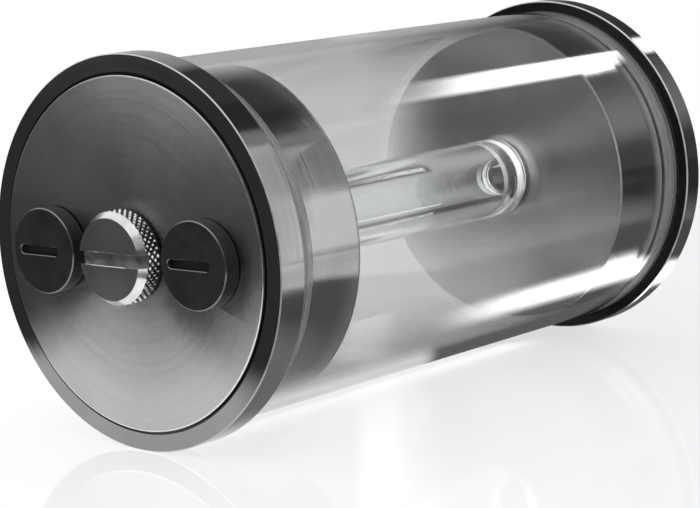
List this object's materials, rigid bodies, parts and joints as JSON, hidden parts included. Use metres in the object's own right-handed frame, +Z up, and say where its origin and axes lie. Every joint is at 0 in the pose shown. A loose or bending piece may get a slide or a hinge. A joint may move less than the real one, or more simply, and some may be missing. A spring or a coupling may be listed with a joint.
{
  "type": "water cooling reservoir",
  "caption": "Clear tube reservoir for a liquid cooling loop, closed by turned metal screw caps with slotted port plugs, a knurled fill plug and an inner flow pipe.",
  "frame": {"origin": "on the axis of the clear tube, midway along it", "axes": "+Y runs along the tube to the rear cap, so the front cap with its plugs faces -Y; +Z is up as the part lies, and the row of plugs lies along X"},
  "size_m": [0.0746, 0.1419, 0.0744],
  "materials": {
    "clear_acrylic": "clear polished acrylic",
    "anodised_cap": "lathe-turned aluminium, dark grey anodised",
    "ring_rubber": "grey silicone ring",
    "plug_chrome": "bright plated, knurled grip",
    "plug_black": "brass, matte black plated",
    "plug_ring_rubber": "black rubber ring"
  },
  "bodies": {
    "tube": {"outer_tube": "clear_acrylic"},
    "front_cap_travel": {"front_cap_ring": "ring_rubber"},
    "front_cap": {"front_cap": "anodised_cap", "flow_pipe": "clear_acrylic"},
    "rear_cap_travel": {"rear_cap_ring": "ring_rubber"},
    "rear_cap": {"rear_cap": "anodised_cap"},
    "fill_plug_travel": {"fill_plug_ring": "plug_ring_rubber"},
    "fill_plug": {"fill_plug": "plug_chrome"},
    "left_plug_travel": {"left_plug_ring": "plug_ring_rubber"},
    "left_plug": {"left_plug": "plug_black"},
    "right_plug_travel": {"right_plug_ring": "plug_ring_rubber"},
    "right_plug": {"right_plug": "plug_black"}
  },
  "joints": [
    {"name": "front_cap_out", "type": "slide", "parent": "tube", "child": "front_cap_travel", "axis": [0, -1, 0], "range_m": [0, 0.00413]},
    {"name": "front_cap_turn", "type": "hinge", "parent": "front_cap_travel", "child": "front_cap", "pos_m": [0, -0.0693, 0], "axis": [0, -1, 0], "range_deg": [0, 990]},
    {"name": "rear_cap_out", "type": "slide", "parent": "tube", "child": "rear_cap_travel", "axis": [0, 1, 0], "range_m": [0, 0.00413]},
    {"name": "rear_cap_turn", "type": "hinge", "parent": "rear_cap_travel", "child": "rear_cap", "pos_m": [0, 0.0672, 0], "axis": [0, 1, 0], "range_deg": [0, 990]},
    {"name": "fill_plug_out", "type": "slide", "parent": "front_cap", "child": "fill_plug_travel", "axis": [0, -1, 0], "range_m": [0, 0.00735]},
    {"name": "fill_plug_turn", "type": "hinge", "parent": "fill_plug_travel", "child": "fill_plug", "pos_m": [0, -0.0693, 0], "axis": [0, -1, 0], "range_deg": [0, 1980]},
    {"name": "left_plug_out", "type": "slide", "parent": "front_cap", "child": "left_plug_travel", "axis": [0, -1, 0], "range_m": [0, 0.00735]},
    {"name": "left_plug_turn", "type": "hinge", "parent": "left_plug_travel", "child": "left_plug", "pos_m": [-0.0197, -0.0693, 0], "axis": [0, -1, 0], "range_deg": [0, 1980]},
    {"name": "right_plug_out", "type": "slide", "parent": "front_cap", "child": "right_plug_travel", "axis": [0, -1, 0], "range_m": [0, 0.00735]},
    {"name": "right_plug_turn", "type": "hinge", "parent": "right_plug_travel", "child": "right_plug", "pos_m": [0.0197, -0.0693, 0], "axis": [0, -1, 0], "range_deg": [0, 1980]}
  ],
  "couplings": [
    {"joint": "front_cap_turn", "follows": "front_cap_out", "rad_per_m": 4188.8},
    {"joint": "rear_cap_turn", "follows": "rear_cap_out", "rad_per_m": 4188.8},
    {"joint": "fill_plug_turn", "follows": "fill_plug_out", "rad_per_m": 4699.5},
    {"joint": "left_plug_turn", "follows": "left_plug_out", "rad_per_m": 4699.5},
    {"joint": "right_plug_turn", "follows": "right_plug_out", "rad_per_m": 4699.5}
  ]
}
